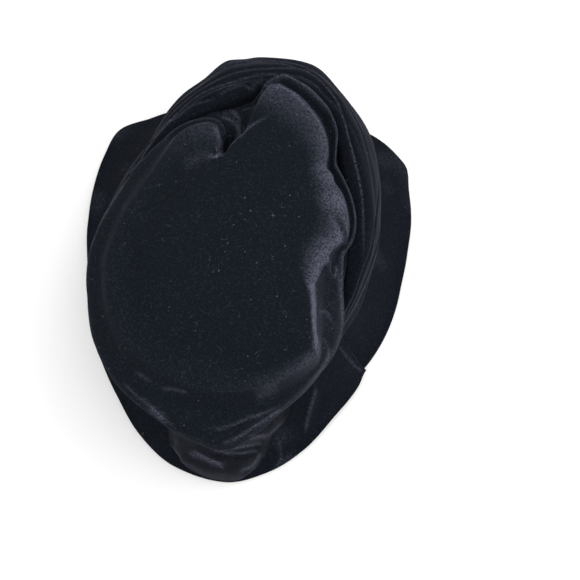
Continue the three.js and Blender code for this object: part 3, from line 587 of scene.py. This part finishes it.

# Pleats of the band, by angle round the hat, with painted sheen along their crests.
bandPleats = [
    {"above": 1.6, "below": 1.2, "napWide": 0.6,
     "rows": makeTable("at reach high nap", [
        (-20, 78, 0, 0), (2, 75.5, 0.9, 0.3), (12, 77, 1.1, 0.4), (21, 79, 1.2, 0.5), (29, 82, 1.3, 0.5),
        (40, 89, 1.4, 0.5), (52, 102.5, 1.4, 0.5), (58, 109, 1.3, 0.5), (64, 115, 1.2, 0.45),
        (71, 119, 1.1, 0.4), (82, 121, 0.9, 0.3), (95, 117, 0.6, 0.2), (112, 103, 0, 0), (240, 103, 0, 0)])},
    {"above": 2, "below": 1.6, "napWide": 0.7,
     "rows": makeTable("at reach high nap", [
        (-20, 78, 0, 0), (20, 85, 0, 0), (42, 96, 0.7, 0.05), (58, 103, 1.1, 0.2), (63, 107, 1.2, 0.25),
        (69, 109, 1.3, 0.3), (80, 107, 1.3, 0.3), (93, 101, 1.3, 0.28), (107, 97, 1.3, 0.28),
        (118, 91, 1.2, 0.25), (135, 86, 0.9, 0.2), (180, 88, 0.6, 0.15), (240, 103, 0.5, 0.05),
        (300, 90, 0.4, 0.05)])},
    {"above": 1.8, "below": 1.3, "napWide": 0.7,
     "rows": makeTable("at reach high nap", [
        (70, 104, 0, 0), (84, 101, 0.9, 0.12), (98, 97, 1.1, 0.2), (108, 93.5, 1, 0.18), (126, 86, 0, 0),
        (240, 101, 0, 0)])},
    {"above": 2.4, "below": 1.8, "napWide": 0.7,
     "rows": makeTable("at reach high nap", [
        (0, 84, 0.3, 0.03), (24, 91, 0.5, 0.05), (50, 109, 0.6, 0.06), (66, 121, 0.8, 0.08),
        (78, 115, 1, 0.1), (90, 111, 1.1, 0.14), (105, 103, 1.1, 0.16), (118, 95.5, 1, 0.15),
        (140, 88, 0.6, 0.12), (200, 94, 0.6, 0.06), (240, 105, 0.6, 0.05), (300, 91, 0.4, 0.04)])},
    {"above": 2.2, "below": 1.6, "napWide": 0.7,
     "rows": makeTable("at reach high nap", [
        (30, 101, 0, 0), (60, 121, 0.7, 0.06), (76, 126, 0.9, 0.18), (90, 121, 1, 0.22),
        (105, 110, 0.9, 0.2), (118, 100.5, 0.8, 0.16), (150, 89, 0, 0), (240, 106, 0, 0)])},
    {"above": 4, "below": 4, "napWide": 3,
     "rows": makeTable("at reach high nap", [
        (62, 122, 0, 0), (82, 125.5, 0.3, 0.14), (92, 123.5, 0.3, 0.2), (99, 115, 0.3, 0.18),
        (108, 107, 0.2, 0.12), (124, 97, 0, 0), (240, 106, 0, 0)])},
    {"above": 1.1, "below": 1.8, "napWide": 0.6,
     "rows": makeTable("at reach high nap", [
        (-60, 93, 0, 0), (-48, 86.5, 0.5, 0.32), (-37, 83.2, 1.2, 0.4), (-26, 82.7, 1.3, 0.4),
        (-17, 83.2, 1.3, 0.4), (-3, 87, 1.3, 0.4), (8, 91, 1.3, 0.4), (19, 97, 1.3, 0.4),
        (30, 104.5, 1.3, 0.36), (46, 117, 0.5, 0.16), (60, 124, 0, 0), (180, 91, 0, 0)])},
    {"above": 1.1, "below": 1.8, "napWide": 0.6,
     "rows": makeTable("at reach high nap", [
        (-44, 85, 0, 0), (-37, 81.4, 0.5, 0.28), (-30, 80.6, 1.2, 0.36), (-21, 79.6, 1.2, 0.36),
        (-5, 82, 1.2, 0.36), (6, 85, 1.2, 0.36), (14, 89.5, 1.2, 0.36), (22, 95.5, 0.6, 0.28),
        (36, 108, 0, 0), (180, 90, 0, 0)])},
    {"above": 3.4, "below": 2.2, "napWide": 2,
     "rows": makeTable("at share high nap", [
        (-20, 0.58, 0.5, 0.02), (20, 0.64, 1.8, 0.04), (60, 0.7, 2, 0.05), (110, 0.62, 1.8, 0.05),
        (160, 0.6, 1.8, 0.05), (215, 0.62, 1.2, 0.04), (250, 0.6, 0.2, 0), (290, 0.6, 0.2, 0)])},
    {"above": 3.2, "below": 2, "napWide": 1.8,
     "rows": makeTable("at share high nap", [
        (0, 0.76, 1.5, 0.04), (45, 0.82, 2, 0.05), (95, 0.76, 2, 0.05), (140, 0.77, 1.8, 0.05),
        (200, 0.8, 1.5, 0.05), (245, 0.76, 0.3, 0.02), (320, 0.74, 1, 0.04)])},
    {"above": 2.6, "below": 1.8, "napWide": 1.6,
     "rows": makeTable("at share high nap", [
        (15, 0.88, 1.4, 0.04), (80, 0.9, 1.6, 0.05), (150, 0.89, 1.4, 0.05), (250, 0.9, 0.5, 0.03)])},
]

# Creases in the band beside the notch of the tip, in plan, with painted sheen along them.
bandFolds = makeTable("line wide high nap napWide fade above under", [
    ([(-15, 90), (-10, 94), (-4, 96.5), (2, 98)], 1.8, 1.2, 0.15, 0.9),
    ([(3, 99), (3.5, 96.5), (6.5, 95), (10, 96)], 1.6, 1.3, 0.22, 0.8),
    ([(6, 96), (10, 99), (15, 103)], (2, 1.4), 1.2, 0.22, 0.8),
    ([(-46, 74), (-40, 79), (-32, 85), (-24, 87), (-16, 89)], 1.8, 1.1, 0.2, 0.8),
    ([(-42, 79.5), (-46, 77), (-50, 74), (-56, 67), (-59, 60), (-62, 55), (-65, 49), (-69, 45), (-73, 41)],
     1.3, 0.6, 0.42, 0.7, (0.15, 0.1)),
])


def bandShape(across, down):
    angle = across[0] * 360
    row = rowAt(bandRows, angle, True)
    tall = head["top"] - head["foot"]
    height = np.clip((row["crestUp"] - band["tuck"] - head["foot"]) / tall, 0, band["highest"])
    start = (sideReach(angle, height) + seamGap * 2 - row["lip"],
             mix(head["foot"], head["top"], height) + row["lipUp"])
    crest, wide = (row["crest"], row["crestUp"]), (row["wide"], row["wideUp"])
    foot = (row["foot"], brimUnder(angle, row["foot"] - band["wall"]) + seamGap)
    section = [start, between(start, crest, band["rise"]), crest, between(crest, wide, band["fall"]),
               wide, foot]
    even = evenSection(section, len(down))
    points = polar(angle[None], even[..., 0], even[..., 1])
    points[:, -1] = points[:, 0]
    normals = -facing(points, True)
    # Pleats and creases paint a sheen along their crests.
    points, nap = addPleats(points, normals, np.zeros(across.shape), angle, bandPleats)
    upper = ease(down, *band["foldSpan"])
    folded, lighter = addFolds(points, normals, nap, bandFolds)
    points, nap = mix(points, folded, upper[..., None]), mix(nap, lighter, upper)
    share = inside(down, band["waveIn"], band["waveOut"])
    points += normals * (band["wave"] * roughness(points, band["waveSize"], 3) * share)[..., None]
    points[:, -1], nap[:, -1] = points[:, 0], nap[:, 0]
    return points, nap


# The tail of the band over the back of the brim. fall and land are how far out and how far down its
# section is on the way to its widest place and to its foot.
drape = {"wall": 2, "fall": (0.6, 0.42), "land": (0.75, 0.55), "wave": 0.6, "waveSize": 14,
         "columns": 150, "rows": 150}

# Its section, from its left edge to its right. footAt is where the foot under each place stands.
drapeRows = makeTable("at footAt top topUp wide wideUp foot", [
    (241, 251, 112, 60, 123, 30, 136),
    (251, 256, 116, 70, 129, 42, 143.5),
    (263, 263, 118.5, 74, 134, 46, 147),
    (272, 267, 118, 72, 132, 45, 147.5),
    (280, 270, 112, 66, 126.5, 40, 146),
    (287, 272.5, 107, 60, 121, 34, 142),
])

# Creases of the drape, in plan, most with painted sheen along them. They fan out from its right edge.
drapeFolds = makeTable("line wide high nap napWide fade above under", [
    ([(0, -128), (7, -125.5), (17, -122)], (1, 1.6), 1, 0.3, 0.65),
    ([(-6, -131.5), (-1, -130.5), (7, -128.5), (14, -126)], (1, 1.8), 1.2, 0.34, 0.65),
    ([(-20, -131.5), (-7, -133.5), (2, -133), (12, -130)], (1.2, 2), 1.3, 0.32, 0.65),
    ([(-35, -131.5), (-26, -134.5), (-18, -138), (-10, -140.5)], (1.8, 3), 1.8, 0.5, (0.8, 1.6)),
    ([(-2, -143.5), (6, -140.5), (10.5, -136.5), (13.5, -131)], (1.6, 2.4), 1.3, 0.36, 0.9),
    ([(-30, -127.5), (-20, -134), (-8, -137)], 2, -1),
    ([(-43, -122), (-44, -128), (-40, -134)], 2, 0.8, 0.12, 1),
])


def drapeShape(across, down):
    angle = mix(drapeRows[0]["at"], drapeRows[-1]["at"], across[0])
    row = rowAt(drapeRows, angle, False)
    rest = brimUnder(row["footAt"], row["foot"] - drape["wall"]) + seamGap
    top, wide, foot = (row["top"], row["topUp"]), (row["wide"], row["wideUp"]), (row["foot"], rest)
    section = [top, between(top, wide, drape["fall"]), wide, between(wide, foot, drape["land"]), foot]
    even = evenSection(section, len(down))
    way = mix(angle[None], row["footAt"][None], down)
    points = polar(way, even[..., 0], even[..., 1])
    points += -facing(points, False) * (drape["wave"] * roughness(points, drape["waveSize"], 6))[..., None]
    return addFolds(points, -facing(points, False), np.zeros(across.shape), drapeFolds)


print("making the cloth pieces")
brimPiece = addCloth("velvet_brim", brim, brimShape, facesUp)
sidePiece = addCloth("lining_side", head, sideShape, facesOut)
tipPiece = addCloth("velvet_tip", tip, tipShape, facesUp)
bandPiece = addCloth("velvet_band", band, bandShape, facesOut)
drapePiece = addCloth("velvet_drape", drape, drapeShape, facesOut)


def newMaterial(name):
    made = bpy.data.materials.new(name)
    made.use_nodes = True
    return made, made.node_tree


# Links a socket to another socket, or gives it a plain value.
def feed(tree, socket, value):
    if isinstance(value, bpy.types.NodeSocket):
        tree.links.new(value, socket)
    else:
        socket.default_value = value


def addNode(tree, kind, **inputs):
    node = tree.nodes.new(kind)
    for name, value in inputs.items():
        feed(tree, node.inputs[name.replace("_", " ")], value)
    return node


def addMath(tree, operation, first, second=0.0, clamp=False):
    node = tree.nodes.new("ShaderNodeMath")
    node.operation, node.use_clamp = operation, clamp
    for socket, value in zip(node.inputs, (first, second)):
        feed(tree, socket, value)
    return node.outputs[0]


def addRange(tree, value, low, high, toLow=0.0, toHigh=1.0):
    node = addNode(tree, "ShaderNodeMapRange", Value=value, From_Min=low, From_Max=high, To_Min=toLow,
                   To_Max=toHigh)
    return node.outputs["Result"]


def addColourMix(tree, share, first, second):
    node = tree.nodes.new("ShaderNodeMix")
    node.data_type = "RGBA"
    for name, kind, value in (("Factor", "VALUE", share), ("A", "RGBA", first), ("B", "RGBA", second)):
        feed(tree, next(s for s in node.inputs if s.name == name and s.type == kind), value)
    return next(s for s in node.outputs if s.type == "RGBA")


def newGroup(name, takes, gives):
    group = bpy.data.node_groups.new(name, "ShaderNodeTree")
    for socketName, kind, value in takes:
        socket = group.interface.new_socket(socketName, in_out="INPUT", socket_type=kind)
        if value is not None:
            socket.default_value = value
    for socketName, kind in gives:
        group.interface.new_socket(socketName, in_out="OUTPUT", socket_type=kind)
    return group, group.nodes.new("NodeGroupInput").outputs, group.nodes.new("NodeGroupOutput").inputs


# Pile of the velvet: fine grain that breaks up the painted sheen, where the pile is painted lighter as if
# it caught the light, and soft mottling. The spans speckle, patch and dust say between which noise values
# something comes up, and from what to what.
pileLooks = {"grain": 850.0, "grainDetail": 3.0, "grainRoughness": 0.7, "mottle": 60.0, "mottleDetail": 4.0,
             "mottleRoughness": 0.6, "speckle": (0.35, 0.68, 0.1, 1.9), "patch": (0.3, 0.7, 0.75, 1.25),
             "dust": (0.5, 0.8, 0.0, 0.16), "broad": 1.5}


def makePileGroup():
    group, given, out = newGroup(
        "velvetPile",
        [("Vector", "NodeSocketVector", None), ("Nap", "NodeSocketFloat", 0.0),
         ("Grain Size", "NodeSocketFloat", pileLooks["grain"]),
         ("Mottle Size", "NodeSocketFloat", pileLooks["mottle"]),
         ("Dark", "NodeSocketColor", (0.01, 0.012, 0.016, 1)),
         ("Light", "NodeSocketColor", (0.1, 0.1, 0.14, 1))],
        [("Color", "NodeSocketColor"), ("Height", "NodeSocketFloat")])
    grain = addNode(group, "ShaderNodeTexNoise", Vector=given["Vector"], Scale=given["Grain Size"],
                    Detail=pileLooks["grainDetail"], Roughness=pileLooks["grainRoughness"])
    mottle = addNode(group, "ShaderNodeTexNoise", Vector=given["Vector"], Scale=given["Mottle Size"],
                     Detail=pileLooks["mottleDetail"], Roughness=pileLooks["mottleRoughness"])
    speckle = addRange(group, grain.outputs["Fac"], *pileLooks["speckle"])
    patch = addRange(group, mottle.outputs["Fac"], *pileLooks["patch"])
    # Painted sheen: where the cloth carries it, the pile is mixed towards Light.
    share = addMath(group, "MULTIPLY", addMath(group, "MULTIPLY", given["Nap"], speckle), patch, True)
    dust = addRange(group, grain.outputs["Fac"], *pileLooks["dust"])
    base = addColourMix(group, addMath(group, "MULTIPLY", dust, patch), given["Dark"], given["Light"])
    group.links.new(addColourMix(group, share, base, given["Light"]), out["Color"])
    broad = addMath(group, "MULTIPLY", mottle.outputs["Fac"], pileLooks["broad"])
    group.links.new(addMath(group, "ADD", grain.outputs["Fac"], broad), out["Height"])
    return group


# Dust and lint that velvet picks up: pale specks, and curled threads that follow the level lines of a
# noise. dot, thin and short are spans like the pile's. Another noise, moved aside, cuts the threads short.
lintLooks = {"specks": 600.0, "threads": 190.0, "dot": (0.3, 0.1), "uneven": 2.0, "thin": (0.008, 0.001),
             "short": (0.6, 0.75), "aside": (0.31, 0.17, 0.53), "cutSize": 1.3}


def makeLintGroup():
    group, given, out = newGroup(
        "lintSpecks",
        [("Vector", "NodeSocketVector", None), ("Speck Size", "NodeSocketFloat", lintLooks["specks"]),
         ("Thread Size", "NodeSocketFloat", lintLooks["threads"]), ("Threads", "NodeSocketFloat", 0.5),
         ("Amount", "NodeSocketFloat", 0.05)],
        [("Mask", "NodeSocketFloat")])
    cells = addNode(group, "ShaderNodeTexVoronoi", Vector=given["Vector"], Scale=given["Speck Size"])
    dot = addRange(group, cells.outputs["Distance"], *lintLooks["dot"])
    chosen = addNode(group, "ShaderNodeSeparateColor", Color=cells.outputs["Color"])
    kept = addMath(group, "GREATER_THAN", chosen.outputs[0], addMath(group, "SUBTRACT", 1.0, given["Amount"]))
    strength = addMath(group, "POWER", chosen.outputs[1], lintLooks["uneven"])
    specks = addMath(group, "MULTIPLY", addMath(group, "MULTIPLY", dot, kept), strength)
    level = addNode(group, "ShaderNodeTexNoise", Vector=given["Vector"], Scale=given["Thread Size"],
                    Detail=0.0)
    away = addMath(group, "ABSOLUTE", addMath(group, "SUBTRACT", level.outputs["Fac"], 0.5))
    line = addRange(group, away, *lintLooks["thin"])
    shifted = addNode(group, "ShaderNodeVectorMath", Vector=given["Vector"])
    shifted.inputs[1].default_value = lintLooks["aside"]
    lengths = addNode(group, "ShaderNodeTexNoise", Vector=shifted.outputs[0],
                      Scale=addMath(group, "MULTIPLY", given["Thread Size"], lintLooks["cutSize"]),
                      Detail=0.0)
    short = addRange(group, lengths.outputs["Fac"], *lintLooks["short"])
    threads = addMath(group, "MULTIPLY", addMath(group, "MULTIPLY", line, short), given["Threads"])
    group.links.new(addMath(group, "MAXIMUM", specks, threads, True), out["Mask"])
    return group


# What all the velvet shares, and what differs from piece to piece: its colour in the dark, how many
# specks and threads it has picked up, and how much sheen is painted on where it turns away from the view.
# light is the colour of the painted sheen, and of the pale dust in the pile.
velvetLooks = {"sheen": 0.05, "sheenRoughness": 0.35, "sheenTint": (0.72, 0.74, 1, 1), "bump": 0.25,
               "bumpDepth": 0.0004, "roughness": 0.95, "gloss": 0.05, "light": (0.082, 0.085, 0.118, 1),
               "lint": (0.12, 0.13, 0.135, 1), "turnBlend": 0.35, "turnPower": 2.5}
# Painted shade: the band's and brim's velvet is a darker copy of the tip's, with less painted sheen where it
# turns away.
tipLooks = {"dark": (0.0048, 0.0072, 0.0102, 1), "specks": 0.03, "threads": 0.4, "edge": 0.1}
bandLooks = {"dark": (0.0036, 0.0050, 0.0078, 1), "specks": 0.02, "threads": 0.15, "edge": 0.08}
brimLooks = {"dark": (0.0040, 0.0056, 0.0086, 1), "specks": 0.02, "threads": 0.12, "edge": 0.06}


def makeVelvet(name, looks, pileGroup, lintGroup):
    made, tree = newMaterial(name)
    shader = tree.nodes["Principled BSDF"]
    where = tree.nodes.new("ShaderNodeTexCoord").outputs["Object"]
    nap = tree.nodes.new("ShaderNodeAttribute")
    nap.attribute_name = "nap"
    # Painted sheen: the pile is painted lighter where the cloth turns away from the view, as well as where
    # the cloth's nap says.
    turned = addNode(tree, "ShaderNodeLayerWeight", Blend=velvetLooks["turnBlend"]).outputs["Facing"]
    edge = addMath(tree, "MULTIPLY", addMath(tree, "POWER", turned, velvetLooks["turnPower"]), looks["edge"])
    pile = tree.nodes.new("ShaderNodeGroup")
    pile.node_tree = pileGroup
    pileInputs = {"Vector": where, "Nap": addMath(tree, "ADD", nap.outputs["Fac"], edge),
                  "Dark": looks["dark"], "Light": velvetLooks["light"]}
    lint = tree.nodes.new("ShaderNodeGroup")
    lint.node_tree = lintGroup
    lintInputs = {"Vector": where, "Amount": looks["specks"], "Threads": looks["threads"]}
    for node, inputs in ((pile, pileInputs), (lint, lintInputs)):
        for socketName, value in inputs.items():
            feed(tree, node.inputs[socketName], value)
    colour = addColourMix(tree, lint.outputs["Mask"], pile.outputs["Color"], velvetLooks["lint"])
    tree.links.new(colour, shader.inputs["Base Color"])
    relief = addNode(tree, "ShaderNodeBump", Strength=velvetLooks["bump"], Distance=velvetLooks["bumpDepth"],
                     Height=pile.outputs["Height"])
    tree.links.new(relief.outputs["Normal"], shader.inputs["Normal"])
    shader.inputs["Roughness"].default_value = velvetLooks["roughness"]
    shader.inputs["Specular IOR Level"].default_value = velvetLooks["gloss"]
    shader.inputs["Sheen Weight"].default_value = velvetLooks["sheen"]
    shader.inputs["Sheen Roughness"].default_value = velvetLooks["sheenRoughness"]
    shader.inputs["Sheen Tint"].default_value = velvetLooks["sheenTint"]
    return made


liningLooks = {"dark": (0.006, 0.006, 0.008, 1), "light": (0.014, 0.014, 0.018, 1), "threads": 700.0,
               "uneven": 1.5, "bump": 0.2, "bumpDepth": 0.0003, "roughness": 0.7}


def makeLining():
    made, tree = newMaterial("lining_cloth")
    shader = tree.nodes["Principled BSDF"]
    where = tree.nodes.new("ShaderNodeTexCoord").outputs["Object"]
    weave = addNode(tree, "ShaderNodeTexWave", Vector=where, Scale=liningLooks["threads"],
                    Distortion=liningLooks["uneven"])
    weave.bands_direction = "Z"
    cloth = addColourMix(tree, weave.outputs["Fac"], liningLooks["dark"], liningLooks["light"])
    tree.links.new(cloth, shader.inputs["Base Color"])
    relief = addNode(tree, "ShaderNodeBump", Strength=liningLooks["bump"], Distance=liningLooks["bumpDepth"],
                     Height=weave.outputs["Fac"])
    tree.links.new(relief.outputs["Normal"], shader.inputs["Normal"])
    shader.inputs["Roughness"].default_value = liningLooks["roughness"]
    return made


print("making the finishes")
pileGroup, lintGroup = makePileGroup(), makeLintGroup()
tipVelvet = makeVelvet("tip_velvet", tipLooks, pileGroup, lintGroup)
bandVelvet = makeVelvet("band_velvet", bandLooks, pileGroup, lintGroup)
brimVelvet = makeVelvet("brim_velvet", brimLooks, pileGroup, lintGroup)
liningCloth = makeLining()

print("tying the pieces to the part")
for piece, node, slot, finish in (
        (brimPiece, "brim", "brim_velvet", brimVelvet),
        (sidePiece, "side_crown", "lining_cloth", liningCloth),
        (tipPiece, "crown_tip", "tip_velvet", tipVelvet),
        (bandPiece, "draped_band", "band_velvet", bandVelvet),
        (drapePiece, "back_drape", "band_velvet", bandVelvet)):
    piece.data.materials.append(finish)
    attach(piece, "root")
    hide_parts(node)

# The floor, the camera and the lamps. Their sizes and places are in metres, but for the camera's aim.
stage = {"floor": 3.2, "floorColour": (0.93, 0.93, 0.93, 1), "floorRoughness": 0.9, "camera": 0.6,
         "elevation": 73, "lens": 56.2, "sensor": 36, "aim": (-2.745, -0.39, 45), "shift": (0.0759, -0.0483),
         "lampAim": (0, 0, 0.06), "surround": 0.8}
lamps = [
    {"name": "key_light", "where": (0.9, 0.35, 0.9), "size": 1.4, "power": 8, "tint": (1, 0.99, 0.97)},
    {"name": "soft_top", "where": (-0.1, -0.4, 1.6), "size": 1.4, "power": 12, "tint": (1, 1, 1)},
]


def addFloor():
    bpy.ops.object.select_all(action="DESELECT")
    bpy.ops.mesh.primitive_plane_add(size=stage["floor"])
    floor = bpy.context.object
    floor.name = "floor"
    paint, tree = newMaterial("pale_floor")
    tree.nodes["Principled BSDF"].inputs["Base Color"].default_value = stage["floorColour"]
    tree.nodes["Principled BSDF"].inputs["Roughness"].default_value = stage["floorRoughness"]
    floor.data.materials.append(paint)
    return floor


def addCamera():
    aim = Vector(stage["aim"]) * mm
    back = math.radians(stage["elevation"])
    place = aim + Vector((0, -math.cos(back), math.sin(back))) * stage["camera"]
    bpy.ops.object.camera_add(location=place, rotation=(aim - place).to_track_quat("-Z", "Y").to_euler())
    camera = bpy.context.object
    camera.data.lens = stage["lens"]
    camera.data.sensor_width = stage["sensor"]
    camera.data.shift_x, camera.data.shift_y = stage["shift"]
    return camera


def addLamp(looks):
    bpy.ops.object.light_add(type="AREA", location=looks["where"])
    lamp = bpy.context.object
    lamp.name = looks["name"]
    way = Vector(stage["lampAim"]) - Vector(looks["where"])
    lamp.rotation_euler = way.to_track_quat("-Z", "Y").to_euler()
    lamp.data.size = looks["size"]
    lamp.data.energy = looks["power"]
    lamp.data.color = looks["tint"]


def addSurround():
    world = bpy.data.worlds.new("studio")
    bpy.context.scene.world = world
    world.use_nodes = True
    world.node_tree.nodes["Background"].inputs["Color"].default_value = (1, 1, 1, 1)
    world.node_tree.nodes["Background"].inputs["Strength"].default_value = stage["surround"]


print("setting up the floor, camera and lamps")
floor = addFloor()
bpy.context.scene.camera = addCamera()
for looks in lamps:
    addLamp(looks)
addSurround()
bpy.context.scene.view_settings.view_transform = "Standard"
